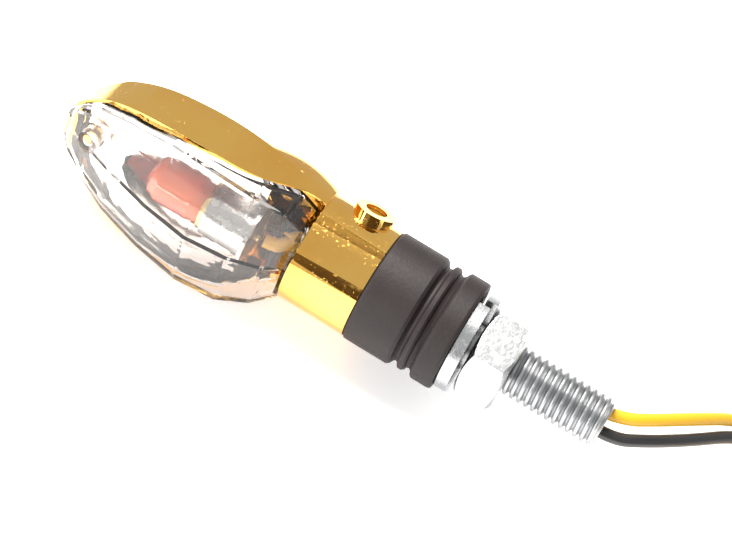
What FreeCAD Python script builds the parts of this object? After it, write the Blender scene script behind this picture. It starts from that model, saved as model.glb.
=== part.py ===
"""Motorcycle turn signal with a faceted lens, a plated housing, a rubber stalk and a hollow stud.

Millimetres. +X runs along the stalk from the lamp to the end of the stud, the lens faces -Y, and +Z is up.
The origin is on the stud's axis, in the end face of the rubber boot that seats against a bracket.
"""
import FreeCAD
import Part

import math
import os
import re

import Sketcher
from FreeCAD import Placement, Rotation, Vector

SIZES = {
    "boot_length": 19.1, "boot_radius": 11.4, "boot_groove": 1.3, "boot_groove_depth": 1.3,
    "boot_flange": 4.6, "boot_ridge": 1.6, "spigot_depth": 7.1, "spigot_radius": 8.0,
    "stud_radius": 5.0, "shank_radius": 4.5, "stud_length": 31.0, "stud_bore": 3.3, "stud_chamfer": 0.9,
    "mouth_chamfer": 0.4, "thread_from_nut": 0.2,
    "stud_head_radius": 8.0, "stud_head_height": 3.0, "stud_head_depth": 2.0,
    "washer_outer": 10.2, "washer_inner": 5.2, "washer_thickness": 2.4, "washer_rise": 0.9,
    "nut_flats": 17.0, "nut_height": 8.0, "nut_gap": 0.1, "thread_clearance": 0.06, "nut_chamfer": 0.9,
    "stem_length": 14.1, "stem_radius": 11.2, "stem_wall": 1.7, "wall": 1.6,
    "head_length": 50.4, "rim_half_height": 16.0, "rim_back": 1.75, "rim_front": 8.4, "dome_radius": 13.8,
    "lens_depth": 15.6, "lens_wall": 1.5, "lens_gap": 0.05, "end_gap": 0.15,
    "gasket_width": 0.9, "gasket_height": 1.0, "reflector_wall": 0.8, "reflector_radius": 9.6,
    "reflector_drop": 1.3, "bulb_offset": 4.5, "bulb_radius": 4.3, "bulb_length": 12.0, "base_radius": 4.5,
    "base_length": 6.0, "socket_wall": 0.5, "socket_clearance": 0.12, "socket_back": 9.1,
    "plunger_radius": 1.8, "plunger_head": 0.8, "plunger_pin": 0.8, "spring_wire": 0.22, "spring_room": 2.2,
    "insulator": 1.2, "insert_wall": 2.4, "fit_gap": 0.05, "boss_radius": 4.0, "boss_reach": 12.8,
    "boss_tilt": 25.0, "rim_sweep": 4.2, "boss_from_boot": 6.1, "screw_head": 2.0, "screw_shank": 1.5, "screw_head_height": 1.4,
    "recess_depth": 2.2, "lens_screw_radius": 1.1, "lens_screw_head": 2.1, "lens_screw_from_tip": 5.4, "lens_screw_seat": 1.05,
    "lens_screw_reach": 5.0, "wire_radius": 1.3, "wire_pitch": 2.7, "flex_from_seat": 8.5, "flex_gap": 1.0,
    "floor_drop": 16.0, "coil_radius": 13.1, "coil_turns": 1.25, "bore_lead_end": 26.0, "bullet_radius": 1.95,
    "bullet_length": 11.0, "sleeve_radius": 2.2, "sleeve_length": 11.0, "tie_thickness": 0.55, "tie_width": 2.4,
}
# Share of the head's length from the tip, and share of the rim's greatest half height.
RIM_OUTLINE = [(0.0, 0.3), (0.05, 0.48), (0.13, 0.68), (0.27, 0.888), (0.43, 0.98), (0.587, 1.0), (0.766, 0.931), (0.93, 0.79)]
# Share of the head's length, and share of rim_front, for the rim's front edge where the lens seats.
RIM_FRONT = [(-0.02, 0.5), (0.115, 0.62), (0.22, 0.8), (0.34, 0.94), (0.5, 1.0), (0.66, 0.95), (0.79, 0.68),
             (0.88, 0.3), (0.95, 0.12), (1.03, 0.06)]
# Share of the head's length, and share of dome_radius, for the turned back of the housing.
DOME = [(0.08, 0.08), (0.27, 0.48), (0.47, 0.77), (0.64, 0.91), (0.745, 0.98), (0.825, 1.0), (0.91, 0.965),
        (1.0, 0.86)]
# Lens sections: share of the length, ridge depth, shoulder (half height, depth) and edge (half height, depth),
# depths as shares of lens_depth and half heights as shares of rim_half_height, then the seat's half height.
LENS = [(-0.016, 0.36, 0.12, 0.34, 0.17, 0.29, 0.19), (0.03, 0.45, 0.31, 0.425, 0.37, 0.36, 0.41),
        (0.115, 0.545, 0.46, 0.50, 0.60, 0.43, 0.64), (0.244, 0.705, 0.53, 0.64, 0.77, 0.54, 0.85),
        (0.43, 0.89, 0.575, 0.775, 0.90, 0.64, 0.972), (0.617, 1.0, 0.60, 0.845, 0.955, 0.72, 0.988),
        (0.786, 0.935, 0.61, 0.795, 0.92, 0.705, 0.912), (0.909, 0.78, 0.60, 0.655, 0.79, 0.575, 0.80),
        (1.0, 0.55, 0.42, 0.51, 0.54, 0.435, 0.58)]
# Routes of the free leads, from inside the stud's bore to the start of the coil.
LEAD_ROUTES = {
    "yellow": [(26, 0.96, 0.96), (33, 1.6, 1.5), (39, 6.4, 1.7), (45.5, 13.2, 0.8), (51.5, 20.8, -1.6),
               (58.5, 26.4, -5.2), (66, 29.8, -8.5), (73, 31.4, -10.4)],
    "black": [(26, -0.96, -0.96), (33, -1.4, -1.5), (39.8, 3.2, -0.9), (46.5, 10.0, -1.6), (53.5, 19.2, -3.6),
              (60, 24.0, -6.3), (66.5, 26.8, -9.0), (73.5, 28.8, -10.6)],
}
COIL_CENTRE = Vector(81, 16, 0)
TAILS = {"yellow": Vector(1.4, -9.5, 0.35), "black": Vector(-0.4, -15.4, 0.35)}
TOP = Vector(0, 0, 1)

doc = FreeCAD.newDocument("TurnSignal")
sheet = doc.addObject("Spreadsheet::Sheet", "Sizes")
for row, (alias, number) in enumerate(SIZES.items(), start=1):
    sheet.set(f"A{row}", alias)
    sheet.set(f"B{row}", str(number))
    sheet.setAlias(f"B{row}", alias)
doc.recompute()


def bound(text):
    """An expression on the sheet's cells, from one written with the bare aliases."""
    return re.sub(r"([a-z]\w*)", r"Sizes.\1", text)


def size(text):
    """The value of an expression in the sheet's aliases."""
    return float(sheet.evalExpression(bound(text)))


def tie(item, **places):
    """Binds properties to expressions; a double underscore stands for a dot."""
    for name, text in places.items():
        item.setExpression(name.replace("__", "."), bound(text))


def plane_of(body, role):
    return [f for f in body.Origin.OriginFeatures if f.Role == role][0]


def outline_sketch(body, name, role, points):
    """A closed outline of straight lines on an origin plane, every corner bound to two expressions."""
    sketch = body.newObject("Sketcher::SketchObject", name)
    sketch.AttachmentSupport = (plane_of(body, role), [""])
    sketch.MapMode = "FlatFace"
    corners = [Vector(size(x), size(y), 0) for x, y in points]
    count = len(corners)
    for i in range(count):
        sketch.addGeometry(Part.LineSegment(corners[i], corners[(i + 1) % count]), False)
    for i in range(count):
        sketch.addConstraint(Sketcher.Constraint("Coincident", i, 2, (i + 1) % count, 1))
    for i, corner in enumerate(points):
        for kind, axis, text, value in (("DistanceX", -2, corner[0], corners[i].x),
                                        ("DistanceY", -1, corner[1], corners[i].y)):
            if abs(value) < 1e-9:
                sketch.addConstraint(Sketcher.Constraint("PointOnObject", i, 1, axis))
            else:
                number = sketch.addConstraint(Sketcher.Constraint(kind, -1, 1, i, 1, value))
                sketch.setExpression(f"Constraints[{number}]", bound(text))
    return sketch


def turned(name, points, start="0", y="0", z="0"):
    """A body turned about its own X axis from an outline of (along, radius) pairs, placed at start."""
    body = doc.addObject("PartDesign::Body", name)
    sketch = outline_sketch(body, name + "_outline", "XZ_Plane", points)
    doc.recompute()
    turning = body.newObject("PartDesign::Revolution", name + "_turning")
    turning.Profile = sketch
    turning.ReferenceAxis = (sketch, ["H_Axis"])
    turning.Angle = 360.0
    tie(body, Placement__Base__x=start, Placement__Base__y=y, Placement__Base__z=z)
    sketch.Visibility = False
    body.Label = name
    return body


def rod(name, radius, length, start, y="0", z="0"):
    """A cylinder along X."""
    item = doc.addObject("Part::Cylinder", name)
    tie(item, Radius=radius, Height=length)
    item.Placement = Placement(Vector(), Rotation(Vector(0, 1, 0), 90))
    tie(item, Placement__Base__x=start, Placement__Base__y=y, Placement__Base__z=z)
    return item


def joined(kind, name, base, tool):
    """Part::Cut, Part::Fuse or Part::Common of two objects."""
    item = doc.addObject("Part::" + kind, name)
    item.Base = base
    item.Tool = tool
    item.Label = name
    return item


def shaped(name, shape):
    """A piece whose shape is worked out with Part's own functions."""
    item = doc.addObject("Part::Feature", name)
    item.Shape = shape
    item.Label = name
    return item


# The head's curved walls: the lens faces -Y, so a depth d in front of the stalk's axis is at y = -d.

def head_x(share):
    """Where a share of the head's length, counted from its tip, lies on X."""
    return size("-boot_length - stem_length - head_length") + share * size("head_length")


def curve(points):
    """A smooth edge through the points."""
    spline = Part.BSplineCurve()
    spline.interpolate([Vector(*p) for p in points])
    return spline.toShape()


def line(one, other):
    return Part.LineSegment(Vector(*one), Vector(*other)).toShape()


def rim_block(inset):
    """The rim's outline, smaller by inset all round, as a long block along Y."""
    half = size("rim_half_height")
    first, last = head_x(RIM_OUTLINE[0][0]) + inset, head_x(RIM_OUTLINE[-1][0]) - inset
    upper = [(head_x(s), h * half - inset) for s, h in RIM_OUTLINE]
    upper[0] = (first, upper[0][1])
    upper[-1] = (last, upper[-1][1])
    deep = 1.6 * half
    top = curve([(x, -deep, z) for x, z in upper])
    bottom = curve([(x, -deep, -z) for x, z in upper])
    ends = [line((x, -deep, z), (x, -deep, -z)) for x, z in (upper[0], upper[-1])]
    wire = Part.Wire(Part.__sortEdges__([top, bottom] + ends))
    return Part.Face(wire).extrude(Vector(0, 2 * deep, 0))


def front_side(drop):
    """Everything in front of the rim's front edge, moved back by drop, over the head's length."""
    tall = 3 * size("rim_half_height")
    edge = [(head_x(s), -(share * size("rim_front") - drop), -tall) for s, share in RIM_FRONT]
    far = -4 * size("rim_front")
    near_corner, far_corner = (edge[0][0], far, -tall), (edge[-1][0], far, -tall)
    wire = Part.Wire(Part.__sortEdges__([curve(edge), line(edge[-1], far_corner), line(far_corner, near_corner),
                                         line(near_corner, edge[0])]))
    return Part.Face(wire).extrude(Vector(0, 0, 2 * tall))


def back_side(depth, rise):
    """Everything behind a plane at that depth, which comes forward by rise towards the tip."""
    tall = 3 * size("rim_half_height")
    left, bend, right = head_x(-0.1), head_x(0.13), head_x(1.1)
    far = 3 * size("dome_radius")
    corners = [(left, -(depth + rise), -tall), (bend, -depth, -tall), (right, -depth, -tall), (right, far, -tall),
               (left, far, -tall)]
    return Part.Face(Part.makePolygon([Vector(*c) for c in corners + corners[:1]])).extrude(Vector(0, 0, 2 * tall))


def dome_solid(inset, first=0.0, last=1.0):
    """The turned back of the housing, smaller by inset, over a share of the head's length."""
    points = [(head_x(s), r * size("dome_radius") - inset, 0) for s, r in DOME if first <= s <= last]
    ends = [(points[0][0], 0, 0), (points[-1][0], 0, 0)]
    wire = Part.Wire([line(ends[0], points[0]), curve(points), line(points[-1], ends[1]), line(ends[1], ends[0])])
    return Part.Face(wire).revolve(Vector(), Vector(1, 0, 0), 360)


def boss_direction():
    """From the stalk's axis to the screw boss: up, tilted to the back."""
    tilt = math.radians(size("boss_tilt"))
    return Vector(0, math.sin(tilt), math.cos(tilt))


def boss_foot():
    return Vector(size("-boot_length - boss_from_boot"), 0, 0)


def radial(radius, low, high):
    """A cylinder along the boss's axis, between two distances from the stalk's axis."""
    return Part.makeCylinder(radius, high - low, boss_foot() + boss_direction() * low, boss_direction())


def make_housing():
    """Rim, turned back, stem and screw boss: one plated moulding."""
    wall, rise = size("wall"), size("rim_sweep")
    rim = rim_block(0).cut(front_side(0)).cut(back_side(-size("rim_back"), rise))
    back = dome_solid(0).cut(front_side(0))
    start, length = head_x(1.0), size("stem_length")
    stem = Part.makeCylinder(size("stem_radius"), length, Vector(start, 0, 0), Vector(1, 0, 0))
    neck = Part.makeCylinder(size("stem_radius"), 1.5, Vector(start - 1.5, 0, 0), Vector(1, 0, 0)).cut(front_side(0))
    boss = radial(size("boss_radius"), 0, size("boss_reach"))
    outer = rim.fuse([back, stem, neck, boss])
    hollow = rim_block(wall).cut(back_side(-size("rim_back") + wall, rise))
    inner = dome_solid(wall, 0.2, 0.92)
    bore = Part.makeCylinder(size("stem_radius - stem_wall"), length + 7, Vector(start - 5, 0, 0), Vector(1, 0, 0))
    recess = radial(size("screw_head + 0.2"), size("boss_reach - recess_depth"), size("boss_reach + 1"))
    screw_hole = radial(size("screw_shank + 0.1"), 0, size("boss_reach"))
    nose_hole = nose_rod(size("lens_screw_radius + 0.1"), -20, 3.5)
    nose_seat = nose_rod(size("lens_screw_head + 0.2"), -20, -size("lens_screw_seat"))
    return outer.cut([hollow, inner, bore, recess, screw_hole, nose_hole, nose_seat]).removeSplitter()


def nose_rod(radius, low, high):
    """A cylinder along the lens screw, between two depths."""
    x = head_x(0) + size("lens_screw_from_tip")
    return Part.makeCylinder(radius, high - low, Vector(x, -low, 0), Vector(0, -1, 0))


def lens_row(share):
    """The lens's half section at a share of its length, straight between the stated ones."""
    for one, other in zip(LENS, LENS[1:]):
        if one[0] <= share <= other[0]:
            part = (share - one[0]) / (other[0] - one[0])
            return [a + part * (b - a) for a, b in zip(one, other)]
    raise ValueError(share)


def lens_block(inset):
    """The faceted lens as a full block, smaller by inset, reaching behind its seat."""
    half, deep, length = size("rim_half_height"), size("lens_depth"), size("head_length")
    gap = size("end_gap")
    shares = [LENS[0][0] + inset / length] + [row[0] for row in LENS[1:-1]] + [1 - (gap + inset) / length]
    wires = []
    for share in shares:
        _, ridge, shoulder_z, shoulder_d, edge_z, edge_d, seat_z = lens_row(share)
        upper = [(seat_z * half - inset, 0.2 - 1.0), (seat_z * half - inset, 1.2), (edge_z * half - inset, edge_d * deep - 0.6 * inset),
                 (shoulder_z * half - 0.4 * inset, shoulder_d * deep - inset), (0, ridge * deep - inset)]
        ring = upper + [(-z, d) for z, d in reversed(upper[:-1])]
        points = [Vector(head_x(share), -d, z) for z, d in ring]
        wires.append(Part.makePolygon(points + points[:1]))
    return Part.makeLoft(wires, True, True)


def make_lens():
    """A clear shell of flat facets, with a screw boss in its nose."""
    front = front_side(-size("lens_gap"))
    shell = lens_block(0).common(front).cut(lens_block(size("lens_wall")))
    boss = nose_rod(size("lens_screw_radius + 1.0"), 3.6, 7.2).common(lens_block(size("lens_wall / 2")))
    pilot = nose_rod(size("lens_screw_radius"), 0, size("lens_screw_reach + 0.4"))
    return shell.fuse(boss).cut(pilot).removeSplitter()


def make_gasket():
    """A rubber band inside the rim that the lens presses on."""
    outer = rim_block(size("wall + fit_gap"))
    ring = outer.cut(rim_block(size("wall + fit_gap + gasket_width")))
    band = front_side(size("gasket_height")).cut(front_side(0))
    return ring.common(band)


def bowl(grow):
    """The reflector's turned bowl about the bulb's axis."""
    y = -size("bulb_offset")
    left, middle, right = head_x(0.26), head_x(0.5), head_x(0.8)
    radius = size("reflector_radius") + grow
    ends = 2.0 + grow, size("base_radius + socket_clearance + socket_wall + 0.5") + grow
    arc = Part.Arc(Vector(left, y + ends[0], 0), Vector(middle, y + radius, 0), Vector(right, y + ends[1], 0))
    wire = Part.Wire([line((left, y, 0), (left, y + ends[0], 0)), arc.toShape(),
                      line((right, y + ends[1], 0), (right, y, 0)), line((right, y, 0), (left, y, 0))])
    return Part.Face(wire).revolve(Vector(0, y, 0), Vector(1, 0, 0), 360)


def make_reflector():
    """A thin bright bowl with a flange that follows the rim's front edge."""
    drop, thin = size("reflector_drop"), size("reflector_wall")
    inset = size("wall + fit_gap + gasket_width + 0.2")
    flange = rim_block(inset).common(front_side(drop + thin)).cut(front_side(drop))
    clear = Part.makeBox(60, 60, 60, Vector(head_x(0.8), -30, -30))
    nose = nose_rod(size("lens_screw_radius + 1.4"), -5, 9)
    shell = bowl(thin).cut(front_side(drop))
    return shell.fuse(flange).cut([bowl(0), clear, nose]).removeSplitter()


def tube(points, radius):
    """A tube along straight runs joined by tangent arcs as large as the runs allow."""
    points = [Vector(*p) for p in points]
    edges, at = [], points[0]
    for before, corner, after in zip(points, points[1:], points[2:]):
        into, out = (corner - before), (after - corner)
        turn = into.getAngle(out)
        reach = 0.45 * min(into.Length, out.Length)
        first, last = corner - into.normalize() * reach, corner + out.normalize() * reach
        middle_way = (out - into).normalize()
        bend = reach / math.tan(turn / 2)
        print(f"  bend radius {bend:.1f}")
        centre = corner + middle_way * (bend / math.cos(turn / 2))
        edges += [Part.LineSegment(at, first).toShape(),
                  Part.Arc(first, centre - middle_way * bend, last).toShape()]
        at = last
    edges.append(Part.LineSegment(at, points[-1]).toShape())
    path = Part.Wire(edges)
    start = points[1] - points[0]
    profile = Part.Wire([Part.makeCircle(radius, points[0], start)])
    solid = path.makePipeShell([profile], True, True)
    if not solid.isValid() or solid.Volume <= 0:
        solid = path.makePipe(Part.Face(profile))
    print(f"  tube volume over section times length {solid.Volume / (math.pi * radius ** 2 * path.Length):.3f}")
    return solid


def make_washer():
    """A split spring washer: one turn of square wire that rises along X, with its split up and to the back."""
    inner, outer, thick, rise = (size(n) for n in ("washer_inner", "washer_outer", "washer_thickness", "washer_rise"))
    steps, split, gap = 24, math.radians(84), math.radians(10)
    wires = []
    for step in range(steps + 1):
        angle = split + gap / 2 + (2 * math.pi - gap) * step / steps
        low = rise * step / steps
        out = Vector(0, math.cos(angle), math.sin(angle))
        corners = [out * r + Vector(x, 0, 0) for r, x in
                   ((inner, low), (outer, low), (outer, low + thick), (inner, low + thick))]
        wires.append(Part.makePolygon(corners + corners[:1]))
    shaped("lock_washer", Part.makeLoft(wires, True, True))


def make_nut():
    """A hexagon nut with both faces chamfered, bored to clear the thread's crests."""
    start = "washer_thickness + washer_rise + nut_gap"
    prism = doc.addObject("Part::Prism", "nut_blank")
    prism.Polygon = 6
    tie(prism, Circumradius="nut_flats / 1.7320508", Height="nut_height")
    prism.Placement = Placement(Vector(), Rotation(Vector(0, 1, 0), 90) * Rotation(TOP, 54))
    tie(prism, Placement__Base__x=start)
    flat, corner = "nut_flats * 0.48", "nut_flats / 1.7320508 + 0.2"
    envelope = turned("nut_envelope", [
        ("0", "stud_radius + thread_clearance + nut_chamfer"), ("0", flat),
        ("nut_chamfer * 1.2", corner), ("nut_height - nut_chamfer * 1.2", corner), ("nut_height", flat),
        ("nut_height", "stud_radius + thread_clearance + nut_chamfer"),
        ("nut_height - nut_chamfer", "stud_radius + thread_clearance"),
        ("nut_chamfer", "stud_radius + thread_clearance")], start)
    return joined("Common", "hex_nut", prism, envelope)


def make_boot():
    """The rubber stalk: two grooves outside, and seats for the spigot and the stud's head inside."""
    back = "boot_length - boot_flange - boot_groove * 2 - boot_ridge"
    floor = "boot_radius - boot_groove_depth"
    return turned("rubber_boot", [
        ("0", "spigot_radius"), ("0", "boot_radius - 0.4"), ("0.4", "boot_radius"), (back + " - 0.4", "boot_radius"),
        (back, "boot_radius - 0.4"), (back + " + 0.2", floor), (back + " + boot_groove - 0.2", floor),
        (back + " + boot_groove", "boot_radius - 0.5"), (back + " + boot_groove + boot_ridge", "boot_radius - 0.5"),
        (back + " + boot_groove + boot_ridge + 0.2", floor), (back + " + boot_groove * 2 + boot_ridge - 0.2", floor),
        ("boot_length - boot_flange", "boot_radius - 0.5"), ("boot_length - boot_flange + 0.4", "boot_radius - 0.1"),
        ("boot_length - 0.5", "boot_radius - 0.1"), ("boot_length", "boot_radius - 0.6"),
        ("boot_length", "stud_radius"), ("boot_length - stud_head_depth", "stud_radius"),
        ("boot_length - stud_head_depth", "stud_head_radius"),
        ("boot_length - stud_head_depth - stud_head_height", "stud_head_radius"),
        ("boot_length - stud_head_depth - stud_head_height", "stud_radius"), ("spigot_depth", "stud_radius"),
        ("spigot_depth", "spigot_radius")], "-boot_length")


def make_stud():
    """The hollow stud, its head moulded into the boot; past the nut the thread is drawn at its crests."""
    head = "stud_head_height"
    seat = "stud_head_depth + stud_head_height"
    whole = seat + " + stud_length"
    thread = seat + " + washer_thickness + washer_rise + nut_gap + nut_height + thread_from_nut"
    return turned("threaded_stud", [
        ("0", "stud_bore"), ("0", "stud_head_radius"), (head, "stud_head_radius"), (head, "stud_radius"),
        (seat, "stud_radius"), (seat, "shank_radius"), (thread, "shank_radius"), (thread, "stud_radius"),
        (whole + " - stud_chamfer", "stud_radius"), (whole, "stud_radius - stud_chamfer"),
        (whole, "stud_bore + mouth_chamfer"), (whole + " - mouth_chamfer", "stud_bore")],
        "-stud_head_depth - stud_head_height")


def make_insert():
    """The metal sleeve that the stem's screw holds, with a spigot in the boot."""
    inside = "spigot_radius - insert_wall"
    seat = "stem_length - 3"
    body = turned("stem_insert_blank", [
        ("0", inside), ("0", "stem_radius - stem_wall - fit_gap"), (seat, "stem_radius - stem_wall - fit_gap"),
        (seat, "spigot_radius"), (seat + " + spigot_depth", "spigot_radius"), (seat + " + spigot_depth", inside)],
        "-boot_length - stem_length + 3")
    hole = doc.addObject("Part::Cylinder", "insert_tapping")
    tie(hole, Radius="screw_shank", Height="stem_radius")
    hole.Placement = Placement(boss_foot(), Rotation(TOP, boss_direction()))
    return joined("Cut", "stem_insert", body, hole)


def socket_start():
    """Where the bulb's base ends and its contact begins, as an expression."""
    return "-boot_length - stem_length - socket_back - insulator - spring_room - plunger_head - 0.5"


def make_lamp():
    """The bulb and its bayonet socket, about an axis in front of the stalk's."""
    y = "-bulb_offset"
    base_end = socket_start()
    glass = "bulb_length"
    turned("bulb_glass", [
        ("0", "0"), ("0.25", "bulb_radius * 0.45"), ("1.1", "bulb_radius * 0.8"), ("2.6", "bulb_radius"),
        (glass + " - 2.2", "bulb_radius"), (glass, "bulb_radius * 0.82"), (glass, "bulb_radius * 0.7"),
        (glass + " - 2.4", "bulb_radius - 0.6"), ("3", "bulb_radius - 0.6"), ("0.7", "0")],
        base_end + " - base_length - bulb_length", y)
    turned("bulb_base", [
        ("0", "base_radius - 0.4"), ("0", "base_radius"), ("base_length", "base_radius"),
        ("base_length", "1.7"), ("base_length - 0.6", "1.7"), ("base_length - 0.6", "base_radius - 0.4")],
        base_end + " - base_length", y)
    turned("bulb_contact", [("0", "0"), ("0", "1.7"), ("0.6", "1.7"), ("1.1", "0.9"), ("1.1", "0")],
           base_end + " - 0.6", y)
    turned("bulb_stem", [("0", "0"), ("0", "1.7"), ("4", "1.9"), ("5.5", "0.7"), ("5.5", "0")],
           base_end + " - base_length - 4", y)
    foot = size(base_end + " - base_length - 2.2")
    hoop = [Vector(foot, 0, -1.1), Vector(foot - 4.6, 0, -1.5), Vector(foot - 5.4, 0, 0), Vector(foot - 4.6, 0, 1.5),
            Vector(foot, 0, 1.1)]
    wire = tube([p - Vector(0, size("bulb_offset"), 0) for p in hoop], 0.15)
    shaped("bulb_filament", wire)
    shell = "base_radius + socket_clearance"
    back = "base_length + 0.5 + plunger_head + spring_room + insulator"
    outside = shell + " + socket_wall"
    turned("socket_shell", [
        ("1", shell), ("1", outside), (back + " - 0.8", outside), (back + " - 0.8", outside + " + 1.6"),
        (back, outside + " + 1.6"), (back, shell)], base_end + " - base_length", y)
    turned("socket_insulator", [
        ("0", "plunger_pin + 0.1"), ("0", shell), ("insulator", shell), ("insulator", "plunger_pin + 0.1")],
        base_end + " + 0.5 + plunger_head + spring_room", y)
    turned("contact_plunger", [
        ("0", "0"), ("0", "plunger_radius"), ("plunger_head", "plunger_radius"), ("plunger_head", "plunger_pin"),
        ("plunger_head + spring_room + insulator + 0.8", "plunger_pin"),
        ("plunger_head + spring_room + insulator + 0.8", "0")], base_end + " + 0.5", y)
    thin = size("spring_wire")
    room = size("spring_room") - 2 * thin - 0.02
    spring = Part.Wire(Part.makeHelix(room / 3, room, 1.4))
    ring = spring.makePipeShell([Part.Wire([Part.makeCircle(thin, Vector(1.4, 0, 0), Vector(0, 1, 0))])], True, True)
    ring.rotate(Vector(), Vector(0, 1, 0), 90)
    ring.translate(Vector(size(base_end + " + 0.5 + plunger_head") + thin + 0.01, -size("bulb_offset"), 0))
    shaped("contact_spring", ring)


def make_screws():
    """The stem's clamp screw and the lens's screw."""
    head, reach = size("screw_head"), size("boss_reach")
    top = reach - size("recess_depth") + size("screw_head_height")
    body = radial(head, top - size("screw_head_height"), top).fuse(
        radial(size("screw_shank"), size("spigot_radius - insert_wall") + 0.2, top - 1))
    slot = Part.makeBox(2 * head + 1, 0.7, 1.0, Vector(-head - 0.5, -0.35, 0))
    slot.Placement = Placement(boss_foot() + boss_direction() * (top - 0.6), Rotation(TOP, boss_direction()))
    shaped("stem_screw", body.cut(slot).removeSplitter())
    seat = -size("lens_screw_seat")
    screw = nose_rod(size("lens_screw_head"), seat - 1.3, seat).fuse(
        nose_rod(size("lens_screw_radius"), seat - 0.2, size("lens_screw_reach")))
    cross = Part.makeBox(3.0, 0.7, 0.6, Vector(head_x(0) + size("lens_screw_from_tip") - 1.5, -seat + 0.7, -0.3))
    shaped("lens_screw", screw.cut(cross).removeSplitter())


def make_leads():
    """The two wires: inside the head, inside the stud, free, put away in a coil, and their terminals."""
    radius, half = size("wire_radius"), size("wire_pitch") / 2 * math.sqrt(0.5)
    flex, mouth = -size("flex_from_seat"), size("bore_lead_end")
    contact = size(socket_start() + " + 0.5 + plunger_head * 2 + spring_room + insulator") + 0.9
    starts = {"yellow": (1, (contact, -size("bulb_offset"), 0)), "black": (-1, (contact, 1.9, -3.4))}
    for colour, (side, start) in starts.items():
        shaped(colour + "_bore_lead", Part.makeCylinder(radius, mouth - flex - size("flex_gap"),
                                                        Vector(flex + size("flex_gap"), half * side, half * side),
                                                        Vector(1, 0, 0)))
        inner = [Vector(*start), Vector(start[0] + 2.2, start[1] + 0.3, start[2]),
                 Vector(start[0] + 6.6, 2.0 + 0.3 * side, start[2] * 0.85), Vector(start[0] + 12, 2.2, start[2] * 0.5 + half * side),
                 Vector(start[0] + 19, half * side + 0.4, half * side),
                 Vector(flex - size("flex_gap"), half * side, half * side)]
        shaped(colour + "_inner_lead", tube(inner, radius))
        shaped(colour + "_lead", tube(LEAD_ROUTES[colour], radius))
        coil_lead(colour, size("coil_radius") + (size("wire_pitch") if side > 0 else 0),
                  black_passages() if colour == "yellow" else [])


def black_passages():
    """The room the black wire takes where it crosses the yellow ring, going in and coming out."""
    clear = size("wire_radius + fit_gap")
    begin = COIL_CENTRE + Vector(size("coil_radius"), 0, size("tie_thickness - floor_drop + wire_radius"))
    return [tube(LEAD_ROUTES["black"], clear), Part.makeCylinder(clear, TAILS["black"].Length, begin, TAILS["black"])]


def coil_lead(colour, mean, passages):
    """One lead's put-away length: a flat ring, the tail that leaves it, and the terminal in its sleeve."""
    radius, low = size("wire_radius"), size("tie_thickness - floor_drop")
    tall = 2 * radius + size("coil_turns * wire_pitch")
    outer, inner = mean + size("wire_pitch") / 2 - 0.02, mean - size("wire_pitch") / 2 + 0.02
    foot = COIL_CENTRE + TOP * low
    ring = Part.makeCylinder(outer, tall, foot).cut(Part.makeCylinder(inner, tall, foot))
    for passage in passages:
        ring = ring.cut(passage)
    shaped(colour + "_coil", ring)
    begin, way = COIL_CENTRE + Vector(mean, 0, low + radius), TAILS[colour]
    shaped(colour + "_tail", Part.makeCylinder(radius, way.Length, begin, way))
    sleeve = turned(colour + "_sleeve", [
        ("0", "wire_radius"), ("0", "sleeve_radius - 0.5"), ("1", "sleeve_radius"),
        ("sleeve_length - 0.4", "sleeve_radius"), ("sleeve_length", "sleeve_radius - 0.4"),
        ("sleeve_length", "bullet_radius - 0.35"), ("3", "bullet_radius - 0.35"), ("3", "wire_radius")])
    bullet = turned(colour + "_bullet", [
        ("3", "0"), ("3", "bullet_radius - 0.35"), ("sleeve_length", "bullet_radius - 0.35"),
        ("sleeve_length + 0.6", "bullet_radius"), ("sleeve_length + bullet_length * 0.55", "bullet_radius"),
        ("sleeve_length + bullet_length * 0.62", "bullet_radius - 0.5"),
        ("sleeve_length + bullet_length * 0.7", "bullet_radius"),
        ("sleeve_length + bullet_length * 0.88", "bullet_radius - 0.5"), ("sleeve_length + bullet_length * 0.88", "0")])
    heading = Vector(way.x, way.y, 0)
    for piece in (sleeve, bullet):
        piece.setExpression("Placement.Base.x", None)
        piece.setExpression("Placement.Base.y", None)
        piece.setExpression("Placement.Base.z", None)
        end = begin + way
        piece.Placement = Placement(Vector(end.x, end.y, size("sleeve_radius - floor_drop")),
                                    Rotation(Vector(1, 0, 0), heading))


def make_tie():
    """A strap round both rings."""
    thick, wide, pitch = size("tie_thickness"), size("tie_width"), size("wire_pitch")
    inner, outer = size("coil_radius") - pitch / 2, size("coil_radius") + 1.5 * pitch
    tall = size("2 * wire_radius + coil_turns * wire_pitch")
    gap = 0.05
    hole = Part.makeBox(outer - inner + 2 * gap, 2 * wide, tall + gap, Vector(inner - gap, -wide, thick))
    band = Part.makeBox(outer - inner + 2 * gap + 2 * thick, wide, tall + gap + 2 * thick,
                        Vector(inner - gap - thick, -wide / 2, 0))
    head = Part.makeBox(2.6, wide + 1.2, 2.4, Vector(outer + gap + thick - 0.4, -wide / 2 - 0.6, thick + 1.0))
    strap = band.cut(hole).fuse(head.cut(hole)).removeSplitter()
    strap.rotate(Vector(), TOP, -75)
    strap.translate(COIL_CENTRE - TOP * size("floor_drop"))
    shaped("coil_tie", strap)


PARTS = [
    "gold_housing", "lens", "lens_gasket", "reflector", "lens_screw", "stem_screw", "stem_insert", "bulb_glass",
    "bulb_stem", "bulb_filament", "bulb_base", "bulb_contact", "socket_shell", "socket_insulator", "contact_plunger",
    "contact_spring", "yellow_inner_lead", "black_inner_lead", "rubber_boot", "threaded_stud", "yellow_bore_lead",
    "black_bore_lead", "yellow_lead", "black_lead", "yellow_coil", "black_coil", "yellow_tail", "black_tail",
    "yellow_sleeve", "black_sleeve", "yellow_bullet", "black_bullet", "coil_tie", "lock_washer", "hex_nut",
]


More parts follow.
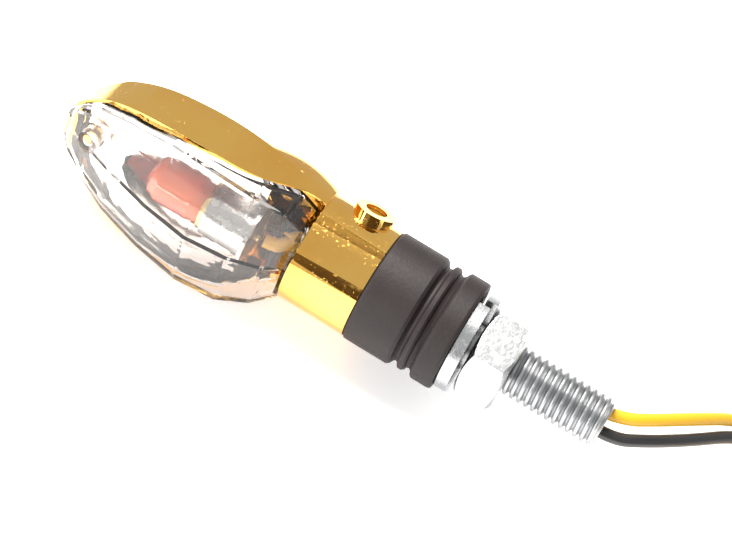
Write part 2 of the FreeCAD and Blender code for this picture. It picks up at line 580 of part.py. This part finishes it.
def main():
    shaped("gold_housing", make_housing())
    shaped("lens", make_lens())
    shaped("lens_gasket", make_gasket())
    shaped("reflector", make_reflector())
    make_boot()
    make_stud()
    make_insert()
    make_washer()
    make_nut()
    make_lamp()
    make_screws()
    make_leads()
    make_tie()
    doc.recompute()
    ready = {}
    for name in PARTS:
        item = doc.getObjectsByLabel(name)[0]
        shape = item.Shape
        if shape.isNull() or not shape.isValid() or len(shape.Solids) != 1 or {"Invalid", "Error"} & set(item.State):
            raise RuntimeError(f"{name} isn't one sound solid: {len(shape.Solids)} solids, {item.State}")
        ready[name] = shape
    os.makedirs("parts", exist_ok=True)
    for name, shape in ready.items():
        shape.exportStep(f"parts/{name}.step")
        print(f"{name} {shape.Volume:.0f} mm3")


main()
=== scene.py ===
"""Looks of a motorcycle turn signal: clear faceted lens, gold plated housing, rubber stalk, zinc plated stud.

Metres. +X runs along the stalk from the lamp to the end of the stud, the lens faces -Y, and +Z is up.
"""

import math

import bmesh
import bpy
import numpy as np
from mathutils import Matrix, Vector


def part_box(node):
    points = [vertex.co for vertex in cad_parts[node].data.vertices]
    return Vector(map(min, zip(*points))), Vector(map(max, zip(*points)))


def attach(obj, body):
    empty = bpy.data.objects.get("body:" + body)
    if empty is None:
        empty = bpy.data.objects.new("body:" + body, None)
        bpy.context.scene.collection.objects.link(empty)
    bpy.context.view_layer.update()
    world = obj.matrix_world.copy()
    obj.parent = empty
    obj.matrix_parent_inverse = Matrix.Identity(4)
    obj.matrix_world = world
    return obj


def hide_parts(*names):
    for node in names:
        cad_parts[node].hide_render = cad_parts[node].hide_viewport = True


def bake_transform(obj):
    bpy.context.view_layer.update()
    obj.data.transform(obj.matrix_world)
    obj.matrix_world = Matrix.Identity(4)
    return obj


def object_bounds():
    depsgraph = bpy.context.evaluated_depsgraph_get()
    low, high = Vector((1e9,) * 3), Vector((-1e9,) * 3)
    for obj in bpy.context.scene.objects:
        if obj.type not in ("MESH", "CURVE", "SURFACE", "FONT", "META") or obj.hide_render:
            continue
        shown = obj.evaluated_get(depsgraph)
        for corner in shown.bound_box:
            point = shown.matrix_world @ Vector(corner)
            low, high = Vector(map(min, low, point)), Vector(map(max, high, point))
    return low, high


MM = 0.001
DOUBLED = 0.002 * MM  # points nearer than this are one
LAMP_MIDDLE = Vector((-20, 0, 0)) * MM
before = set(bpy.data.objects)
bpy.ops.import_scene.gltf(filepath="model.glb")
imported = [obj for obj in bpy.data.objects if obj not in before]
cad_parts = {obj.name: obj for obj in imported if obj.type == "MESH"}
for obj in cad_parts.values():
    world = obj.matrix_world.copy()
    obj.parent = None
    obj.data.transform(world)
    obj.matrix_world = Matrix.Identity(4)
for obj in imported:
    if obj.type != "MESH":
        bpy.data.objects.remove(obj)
CAD_BOX = [list(corner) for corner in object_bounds()]


# Shader maths

class Shade:
    """A socket that can be reckoned with: + and * add Math nodes."""

    def __init__(self, tree, socket):
        self.tree, self.socket = tree, socket

    def _maths(self, operation, *values):
        node = self.tree.nodes.new("ShaderNodeMath")
        node.operation = operation
        for place, value in zip(node.inputs, values):
            if isinstance(value, Shade):
                self.tree.links.new(value.socket, place)
            else:
                place.default_value = value
        return Shade(self.tree, node.outputs[0])

    def __add__(self, other):
        return self._maths("ADD", self, other)

    def __radd__(self, other):
        return self._maths("ADD", other, self)

    def __mul__(self, other):
        return self._maths("MULTIPLY", self, other)

    def __rmul__(self, other):
        return self._maths("MULTIPLY", other, self)

    def above(self, low, high):
        """0 below low, 1 above high, and smooth between."""
        node = self.tree.nodes.new("ShaderNodeMapRange")
        node.interpolation_type = "SMOOTHSTEP"
        self.tree.links.new(self.socket, node.inputs["Value"])
        node.inputs["From Min"].default_value, node.inputs["From Max"].default_value = low, high
        return Shade(self.tree, node.outputs["Result"])


class Finish:
    """A material whose surface is one Principled shader, built by its methods."""

    def __init__(self, name, **constants):
        self.material = bpy.data.materials.new(name)
        self.material.use_nodes = True
        self.tree = self.material.node_tree
        self.shader = self.tree.nodes["Principled BSDF"]
        for socket, value in constants.items():
            self.shader.inputs[socket.replace("_", " ")].default_value = value

    def node(self, kind, output=0, **sockets):
        """Any other node, with the values or links of its sockets."""
        node = self.tree.nodes.new(kind)
        for name, value in sockets.items():
            place = node.inputs[name.replace("_", " ")]
            if isinstance(value, Shade):
                self.tree.links.new(value.socket, place)
            else:
                place.default_value = value
        return Shade(self.tree, node.outputs[output])

    def place(self, scale=(1, 1, 1)):
        """Object coordinates, stretched by scale."""
        where = self.node("ShaderNodeTexCoord", output="Object")
        return self.node("ShaderNodeMapping", Vector=where, Scale=scale)

    def noise(self, scale, detail=3.0, roughness=0.5, stretch=(1, 1, 1)):
        return self.node("ShaderNodeTexNoise", Vector=self.place(stretch), Scale=scale, Detail=detail,
                         Roughness=roughness)

    def mix(self, amount, one, other):
        """Colour one where amount is 0, other where it is 1."""
        node = self.tree.nodes.new("ShaderNodeMix")
        node.data_type = "RGBA"
        for place, value in ((node.inputs[0], amount), (node.inputs[6], one), (node.inputs[7], other)):
            if isinstance(value, Shade):
                self.tree.links.new(value.socket, place)
            else:
                place.default_value = value if isinstance(value, float) else (*value, 1.0)[:4]
        return Shade(self.tree, node.outputs[2])

    def bump(self, height, strength, distance):
        return self.node("ShaderNodeBump", Height=height, Strength=strength, Distance=distance)

    def wear(self, **links):
        """Joins patterns to the shader's sockets, and returns the material."""
        for socket, value in links.items():
            self.tree.links.new(value.socket, self.shader.inputs[socket.replace("_", " ")])
        return self.material


# Finishes

def gold_plating():
    """Mirror plating over a moulding: a faint orange-peel ripple and small pits."""
    f = Finish("gold_plating", Metallic=1.0, Coat_Weight=0.25, Coat_Roughness=0.02)
    ripple, cloud = f.noise(260.0, 2.0), f.noise(60.0, 3.0)
    pits = f.noise(2200.0, 2.0).above(0.66, 0.74)
    colour = f.mix(cloud.above(0.35, 0.7), (1.0, 0.6, 0.14), (0.97, 0.52, 0.1))
    return f.wear(Base_Color=colour, Roughness=0.045 + 0.05 * cloud + 0.2 * pits,
                  Normal=f.bump(ripple * 0.6 + pits * -0.3, 0.12, 0.0004))


def clear_plastic():
    """Clear acrylic with a faint warm tint and a moulded ripple."""
    f = Finish("clear_plastic", IOR=1.49, Transmission_Weight=1.0)
    ripple, haze = f.noise(190.0, 2.0), f.noise(90.0, 3.0)
    return f.wear(Base_Color=f.mix(haze, (0.99, 0.965, 0.945), (0.97, 0.93, 0.9)),
                  Roughness=0.015 + 0.05 * haze.above(0.5, 0.8), Normal=f.bump(ripple, 0.25, 0.0006))


def reflector_plating():
    """Bright metallised plastic, slightly uneven."""
    f = Finish("reflector_plating", Metallic=1.0)
    ripple, dust = f.noise(150.0, 3.0), f.noise(900.0, 2.0)
    return f.wear(Base_Color=f.mix(dust, (0.93, 0.9, 0.88), (0.85, 0.8, 0.77)), Roughness=0.08 + 0.08 * dust,
                  Normal=f.bump(ripple, 0.3, 0.0008))


def amber_glass():
    """A lamp's glass with a thick orange lacquer that glows through."""
    f = Finish("amber_glass", IOR=1.5, Transmission_Weight=0.3, Coat_Weight=1.0, Coat_Roughness=0.03)
    run = f.noise(160.0, 3.0)
    return f.wear(Base_Color=f.mix(run.above(0.3, 0.75), (0.95, 0.09, 0.015), (0.98, 0.19, 0.02)),
                  Roughness=0.05 + 0.07 * run)


def plain_glass():
    f = Finish("plain_glass", IOR=1.5, Transmission_Weight=1.0)
    return f.wear(Base_Color=f.mix(f.noise(200.0), (0.96, 0.96, 0.95), (0.9, 0.92, 0.9)),
                  Roughness=0.02 + 0.03 * f.noise(300.0))


def metal(name, light, dark, rough, grain=900.0, stretch=(1, 1, 1), depth=0.0002):
    """Plated or bare metal: a fine grain, a slow change of tone and a few dull spots."""
    f = Finish(name, Metallic=1.0)
    fine, slow = f.noise(grain, 4.0, 0.6, stretch), f.noise(70.0, 3.0)
    spots = f.noise(420.0, 2.0).above(0.62, 0.72)
    return f.wear(Base_Color=f.mix(slow.above(0.3, 0.75), light, dark),
                  Roughness=rough + 0.12 * fine + 0.18 * spots, Normal=f.bump(fine, 0.25, depth))


def rubber():
    """Moulded black rubber, brown in the light, with dust in its grain."""
    f = Finish("rubber", Specular_IOR_Level=0.35)
    grain, slow = f.noise(1500.0, 5.0, 0.65), f.noise(110.0, 4.0)
    scuff = f.noise(240.0, 4.0, 0.6, (0.5, 1, 1)).above(0.56, 0.75)
    colour = f.mix(slow, (0.012, 0.008, 0.008), (0.022, 0.015, 0.0145))
    return f.wear(Base_Color=f.mix(scuff * 0.3, colour, (0.05, 0.04, 0.038)), Roughness=0.5 + 0.14 * grain,
                  Normal=f.bump(grain, 0.35, 0.0002))


def insulation(name, light, dark):
    """Glossy cable insulation with a faint lengthways drag."""
    f = Finish(name, Coat_Weight=0.35, Coat_Roughness=0.12)
    drag, slow = f.noise(500.0, 3.0, 0.5, (0.2, 1, 1)), f.noise(120.0, 3.0)
    return f.wear(Base_Color=f.mix(slow, light, dark), Roughness=0.28 + 0.12 * drag,
                  Normal=f.bump(drag, 0.15, 0.0002))


def plastic(name, light, dark, rough):
    f = Finish(name)
    grain, slow = f.noise(1200.0, 4.0), f.noise(140.0, 3.0)
    return f.wear(Base_Color=f.mix(slow, light, dark), Roughness=rough + 0.12 * grain,
                  Normal=f.bump(grain, 0.2, 0.0001))


FINISHES = {
    "gold": gold_plating(), "clear": clear_plastic(), "mirror": reflector_plating(), "amber": amber_glass(),
    "glass": plain_glass(), "rubber": rubber(),
    "zinc": metal("bright_zinc", (0.56, 0.58, 0.59), (0.45, 0.46, 0.47), 0.2),
    "thread": metal("thread_zinc", (0.52, 0.53, 0.54), (0.4, 0.41, 0.42), 0.26),
    "brass": metal("brass", (0.86, 0.66, 0.3), (0.75, 0.55, 0.24), 0.18),
    "solder": metal("solder", (0.62, 0.62, 0.63), (0.5, 0.5, 0.52), 0.35, 500.0),
    "tungsten": metal("tungsten", (0.35, 0.34, 0.34), (0.25, 0.24, 0.24), 0.35),
    "alloy": metal("cast_alloy", (0.62, 0.62, 0.63), (0.5, 0.5, 0.51), 0.35, 420.0, depth=0.0004),
    "yellow": insulation("yellow_insulation", (0.82, 0.46, 0.015), (0.74, 0.39, 0.01)),
    "black": insulation("black_insulation", (0.012, 0.012, 0.014), (0.02, 0.019, 0.02)),
    "phenolic": plastic("phenolic", (0.22, 0.12, 0.06), (0.15, 0.08, 0.04), 0.4),
    "sleeve": plastic("soft_sleeve", (0.7, 0.69, 0.64), (0.62, 0.6, 0.55), 0.3),
    "nylon": plastic("nylon", (0.02, 0.02, 0.021), (0.03, 0.03, 0.031), 0.35),
}
NODE_FINISH = {
    "gold_housing": "gold", "lens": "clear", "lens_gasket": "rubber", "reflector": "mirror",
    "lens_screw": "gold",
    "stem_screw": "gold", "stem_insert": "alloy", "bulb_glass": "amber", "bulb_stem": "glass",
    "bulb_filament": "tungsten", "bulb_base": "brass", "bulb_contact": "solder", "socket_shell": "zinc",
    "socket_insulator": "phenolic", "contact_plunger": "brass", "contact_spring": "zinc",
    "yellow_inner_lead": "yellow", "black_inner_lead": "black", "threaded_stud": "thread",
    "yellow_bore_lead": "yellow", "black_bore_lead": "black",
    "yellow_sleeve": "sleeve", "black_sleeve": "sleeve",
    "yellow_bullet": "brass", "black_bullet": "brass", "coil_tie": "nylon", "lock_washer": "zinc",
    "hex_nut": "zinc", "rubber_boot": "rubber", "yellow_coil": "yellow", "black_coil": "black",
    "yellow_tail": "yellow", "black_tail": "black", "yellow_lead": "yellow", "black_lead": "black",
}


def paint(piece, finish):
    piece.data.materials.clear()
    piece.data.materials.append(FINISHES[finish])


# Pieces

def piece_from(name, points, faces):
    """A mesh piece from arrays of points in metres and of faces."""
    mesh = bpy.data.meshes.new(name)
    mesh.from_pydata(points.reshape(-1, 3).tolist(), [], faces)
    mesh.update()
    piece = bpy.data.objects.new(name, mesh)
    bpy.context.collection.objects.link(piece)
    return piece


def quads(rows, columns):
    """Faces of a grid that closes round its columns, with its first and last rows joined by the caller."""
    at = np.arange(rows * columns).reshape(rows, columns)
    turned = np.roll(at, -1, axis=1)
    return np.stack([at[:-1], at[1:], turned[1:], turned[:-1]], axis=-1).reshape(-1, 4).tolist()


def closed_turning(name, along, radius, around=96):
    """A closed ring of section (along, radius) carried round the X axis: y = r cos a, z = r sin a."""
    angle = np.linspace(0, 2 * np.pi, around, endpoint=False)
    along, radius = np.append(along, along[0]), np.append(radius, radius[0])
    points = np.stack([along[:, None] + 0 * angle, radius[:, None] * np.cos(angle),
                       radius[:, None] * np.sin(angle)], axis=-1)
    return merged(piece_from(name, points, quads(len(along), around)))


def merged(piece, sharp=35.0):
    """Joins doubled points, turns the faces outwards and shades smooth up to a sharp angle."""
    work = bmesh.new()
    work.from_mesh(piece.data)
    bmesh.ops.remove_doubles(work, verts=work.verts, dist=DOUBLED)
    bmesh.ops.recalc_face_normals(work, faces=work.faces)
    work.to_mesh(piece.data)
    work.free()
    piece.data.polygons.foreach_set("use_smooth", [True] * len(piece.data.polygons))
    piece.data.set_sharp_from_angle(angle=math.radians(sharp))
    return piece


def softened(node, body, width, angle=32.0, flat=0.1, segments=3):
    """The CAD piece with its edges broken as a moulding's or a plated part's are."""
    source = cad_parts[node]
    mesh = source.data.copy()
    piece = bpy.data.objects.new(node + "_finished", mesh)
    bpy.context.collection.objects.link(piece)
    work = bmesh.new()
    work.from_mesh(mesh)
    bmesh.ops.remove_doubles(work, verts=work.verts, dist=DOUBLED)
    bmesh.ops.dissolve_limit(work, angle_limit=math.radians(flat), verts=work.verts, edges=work.edges)
    work.to_mesh(mesh)
    work.free()
    mesh.polygons.foreach_set("use_smooth", [True] * len(mesh.polygons))
    mesh.set_sharp_from_angle(angle=math.radians(angle))
    bevel = piece.modifiers.new("edges", "BEVEL")
    bevel.width, bevel.segments, bevel.limit_method = width, segments, "ANGLE"
    bevel.angle_limit, bevel.harden_normals, bevel.miter_outer = math.radians(angle), True, "MITER_ARC"
    paint(piece, NODE_FINISH[node])
    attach(piece, body)
    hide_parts(node)


def boot_outline():
    """The boot's outer line from the stem to the bracket: (distance from the seat, radius) in millimetres."""
    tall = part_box("rubber_boot")[1].z / MM
    ridge = 0.5
    return [(-19.1, tall - 0.5), (-18.6, tall), (-9.5, tall), (-8.9, tall - 0.45), (-8.6, tall - 1.1),
            (-8.2, tall - 1.45), (-7.7, tall - 1.3), (-7.5, tall - ridge - 0.3), (-7.2, tall - ridge + 0.08),
            (-6.4, tall - ridge + 0.08), (-6.0, tall - ridge - 0.3), (-5.8, tall - 1.3), (-5.2, tall - 1.5),
            (-4.8, tall - 1.1), (-4.5, tall - 0.45), (-4.1, tall - 0.12), (-0.6, tall - 0.12),
            (-0.12, tall - 0.3), (0.0, tall - 0.8)]


def make_boot():
    """The boot: its outer line, smoothed, and a plain bore, turned about X."""
    line = np.array(boot_outline())
    along = np.linspace(0, 1, 160)
    spot = np.linspace(0, 1, len(line))
    dense = np.unique(np.concatenate([along, spot]))
    outer = np.stack([np.interp(dense, spot, line[:, 0]), np.interp(dense, spot, line[:, 1])], axis=1)
    weights = np.array([1, 2, 3, 2, 1]) / 9
    padded = np.pad(outer[:, 1], 2, mode="edge")
    outer[:, 1] = np.convolve(padded, weights, mode="valid")
    bore = [(0.0, 5.02), (-2.0, 5.02), (-12.0, 5.02), (-12.0, 8.02), (-19.1, 8.02)]
    ring = np.concatenate([outer, bore]) * MM
    boot = closed_turning("rubber_boot_skin", ring[:, 0], ring[:, 1])
    paint(boot, "rubber")
    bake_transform(boot)
    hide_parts("rubber_boot")


def make_stud():
    """The stud, with a helical thread: radius = crest - depth (1 - ridge), and ridge follows the phase.

    The thread fades in after the nut's seat, and the far end is chamfered.
    """
    pitch, crest, depth, bore = 1.5, 5.0, 0.85, 3.3
    start, end, first_thread = -2.0, 31.0, 3.0
    steps, around = 16, 72
    along = np.arange(start, end + 1e-6, pitch / steps)
    angle = np.linspace(0, 2 * np.pi, around, endpoint=False)
    phase = (along[:, None] / pitch - angle / (2 * np.pi)) % 1.0
    ridge = np.clip(1.5 - np.abs(phase - 0.5) * 3.2, 0, 1)
    ridge = ridge * ridge * (3 - 2 * ridge)
    fade = np.clip((along[:, None] - first_thread) / 1.5, 0, 1)
    radius = crest - depth * (1 - ridge) * fade
    radius = np.minimum(radius, crest - np.clip(along[:, None] - (end - 1.0), 0, 1) * 0.9)
    outer = np.stack([along[:, None] + 0 * angle, radius * np.cos(angle), radius * np.sin(angle)], axis=-1)
    rest = [(end, bore + 0.25), (end - 0.3, bore), (start - 3.0, bore), (start - 3.0, 8.0), (start, 8.0)]
    inner = np.stack([np.stack([np.full(around, x), r * np.cos(angle), r * np.sin(angle)], axis=-1)
                      for x, r in rest])
    points = np.concatenate([outer, inner, outer[:1]]) * MM
    stud = merged(piece_from("threaded_stud_cut", points, quads(len(points), around)), 50)
    paint(stud, "thread")
    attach(stud, "mount")
    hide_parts("threaded_stud")


# Leads

ROUTES = {
    "yellow": [(26, 0.96, 0.96), (33, 1.6, 1.5), (39, 6.4, 1.7), (45.5, 13.2, 0.8), (51.5, 20.8, -1.6),
               (58.5, 26.4, -5.2), (66, 29.8, -8.5), (73, 31.4, -10.4)],
    "black": [(26, -0.96, -0.96), (33, -1.4, -1.5), (39.8, 3.2, -0.9), (46.5, 10.0, -1.6), (53.5, 19.2, -3.6),
              (60, 24.0, -6.3), (66.5, 26.8, -9.0), (73.5, 28.8, -10.6)],
}
COIL_CENTRE, COIL_RADIUS = (81, 16), {"yellow": 15.8, "black": 13.1}
COIL_TURNS, WIRE, PITCH, COIL_LOW = 1.25, 2.6, 2.7, -14.15
SINK = {"yellow": 0.0, "black": 0.45}  # the black wire dips under the yellow one as it leaves
TAILS = {"yellow": (1.4, -9.5, 0.35), "black": (-0.4, -15.4, 0.35)}


def coil_points(colour):
    """Clockwise turns from the ring's top to its right side: z sinks by a pitch a turn, and by SINK last."""
    steps = int(COIL_TURNS * 16)
    turn = np.linspace(0.02, 1, steps) * COIL_TURNS
    angle = np.pi / 2 - 2 * np.pi * turn
    mean = COIL_RADIUS[colour]
    return [(COIL_CENTRE[0] + mean * np.cos(a), COIL_CENTRE[1] + mean * np.sin(a),
             COIL_LOW + PITCH * (COIL_TURNS - t) - SINK[colour] * (t / COIL_TURNS) ** 3)
            for a, t in zip(angle, turn)]


def make_lead(colour):
    """One free lead: its route, its turns and its tail, on one NURBS spline."""
    turns = coil_points(colour)
    last, way = turns[-1], TAILS[colour]
    tail = [tuple(last[i] + way[i] * share for i in range(3)) for share in (0.35, 0.7, 1.0)]
    points = ROUTES[colour] + turns + tail
    curve = bpy.data.curves.new(colour + "_lead_run", "CURVE")
    curve.dimensions = "3D"
    spline = curve.splines.new("NURBS")
    spline.points.add(len(points) - 1)
    for place, point in zip(spline.points, points):
        place.co = (*[c * MM for c in point], 1.0)
    spline.order_u, spline.use_endpoint_u = 3, True
    spline.resolution_u = 8
    curve.bevel_depth, curve.bevel_resolution, curve.use_fill_caps = WIRE / 2 * MM, 6, True
    lead = bpy.data.objects.new(colour + "_lead_run", curve)
    bpy.context.collection.objects.link(lead)
    paint(lead, colour)
    line = np.array(points) * MM
    length = float(np.linalg.norm(np.diff(line, axis=0), axis=1).sum())
    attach(lead, "mount")
    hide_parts(colour + "_lead", colour + "_coil", colour + "_tail")
    return lead, length, [c * MM for c in points[0]]


# Room

def make_camera():
    """Looks along the lens's side from above, rolled so that the stalk runs down to the right."""
    tip, lean = math.radians(45.0), math.radians(6.0)
    back = Vector((math.sin(lean), -math.cos(tip) * math.cos(lean), math.sin(tip) * math.cos(lean)))
    side = Vector((1, 0, 0)) - back * back.x
    side.normalize()
    lift = back.cross(side)
    roll = math.radians(31.2)
    right = side * math.cos(roll) + lift * math.sin(roll)
    up = back.cross(right)
    target, distance = (Vector((-21.0, 0, 0)) + right * 0.26 + up * 1.03) * MM, 450 * MM
    data = bpy.data.cameras.new("camera")
    data.sensor_width, data.lens = 36.0, 118.6
    data.clip_start, data.clip_end = 0.01, 20
    camera = bpy.data.objects.new("camera", data)
    bpy.context.collection.objects.link(camera)
    turn = Matrix((right, up, back)).transposed().to_4x4()
    camera.matrix_world = Matrix.Translation(target + back * distance) @ turn
    bpy.context.scene.camera = camera
    return right, up, back


def make_light(name, towards, distance, width, strength, colour=(1, 1, 1)):
    """A soft box that faces the lamp from a direction."""
    data = bpy.data.lights.new(name, "AREA")
    data.shape, data.size, data.size_y = "RECTANGLE", width, width
    data.energy, data.color = strength, colour
    light = bpy.data.objects.new(name, data)
    bpy.context.collection.objects.link(light)
    towards = Vector(towards).normalized()
    facing = towards.to_track_quat("Z", "Y").to_matrix().to_4x4()
    light.matrix_world = Matrix.Translation(LAMP_MIDDLE + towards * distance) @ facing


def make_card(name, towards, distance, width, length):
    """A dark card, longest along the stalk, for the plating to reflect as a dark band."""
    towards = Vector(towards).normalized()
    along = (Vector((1, 0, 0)) - towards * towards.x).normalized()
    across = towards.cross(along)
    centre = LAMP_MIDDLE + towards * distance
    corners = [centre + along * (length / 2 * a) + across * (width / 2 * b)
               for a, b in ((-1, -1), (1, -1), (1, 1), (-1, 1))]
    mesh = bpy.data.meshes.new(name)
    mesh.from_pydata([tuple(c) for c in corners], [], [(0, 1, 2, 3)])
    card = bpy.data.objects.new(name, mesh)
    bpy.context.collection.objects.link(card)
    f = Finish(name + "_cloth", Specular_IOR_Level=0.1)
    weave = f.noise(40.0, 2.0)
    mesh.materials.append(f.wear(Base_Color=f.mix(weave, (0.03, 0.02, 0.012), (0.045, 0.03, 0.02)),
                                 Roughness=0.8 + 0.1 * weave))
    card.visible_camera, card.visible_shadow = False, False


def make_room():
    """A white table that glows a little, under an even sky."""
    lowest = CAD_BOX[0][2]
    mesh = bpy.data.meshes.new("floor")
    reach = 6.0
    mesh.from_pydata([(-reach, -reach, lowest), (reach, -reach, lowest), (reach, reach, lowest),
                      (-reach, reach, lowest)], [], [(0, 1, 2, 3)])
    floor = bpy.data.objects.new("floor", mesh)
    bpy.context.collection.objects.link(floor)
    f = Finish("paper", Specular_IOR_Level=0.1, Emission_Strength=0.45)
    grain = f.noise(3.0, 2.0)
    mesh.materials.append(f.wear(Base_Color=f.mix(grain, (0.93, 0.93, 0.93), (0.95, 0.95, 0.95)),
                                 Emission_Color=f.mix(grain, (1.0, 1.0, 1.0), (0.99, 0.99, 0.99)),
                                 Roughness=0.8 + 0.1 * grain))
    world = bpy.data.worlds.new("room")
    bpy.context.scene.world = world
    bpy.context.scene.view_settings.view_transform = "Standard"
    world.use_nodes = True
    world.node_tree.nodes["Background"].inputs[0].default_value = (1.0, 0.99, 0.98, 1)
    world.node_tree.nodes["Background"].inputs[1].default_value = 0.6


def main():
    right, up, back = make_camera()
    make_room()
    lift = back.cross(Vector((1, 0, 0))).normalized()
    make_card("upper_card", back * 0.55 + lift * 0.8, 0.26, 0.1, 0.5)
    make_card("lower_card", back - lift * 0.62, 0.26, 0.09, 0.5)
    make_light("key", up * 0.9 + back * 0.5, 0.6, 0.35, 9.0, (1.0, 0.97, 0.93))
    make_light("fill", back * 0.8 - up * 0.2 - right * 0.9, 0.7, 0.4, 5.0)
    leads = {}
    for colour in ("yellow", "black"):
        lead, length, leaves = make_lead(colour)
        leads[colour] = (lead, length, leaves)
    for name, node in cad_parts.items():
        paint(node, NODE_FINISH[name])
    softened("gold_housing", "head", 0.35 * MM)
    softened("lens", "head", 0.3 * MM, angle=12.0, flat=0.3, segments=2)
    softened("stem_screw", "head", 0.15 * MM)
    softened("lens_screw", "head", 0.15 * MM)
    softened("lock_washer", "washer", 0.25 * MM, angle=40.0)
    softened("hex_nut", "nut", 0.35 * MM, angle=20.0)
    softened("coil_tie", "mount", 0.12 * MM)
    make_boot()
    make_stud()
    for colour, (lead, length, leaves) in leads.items():
        ([colour + "_sleeve", colour + "_bullet"]
                + (["coil_tie_finished"] if colour == "yellow" else []))


main()
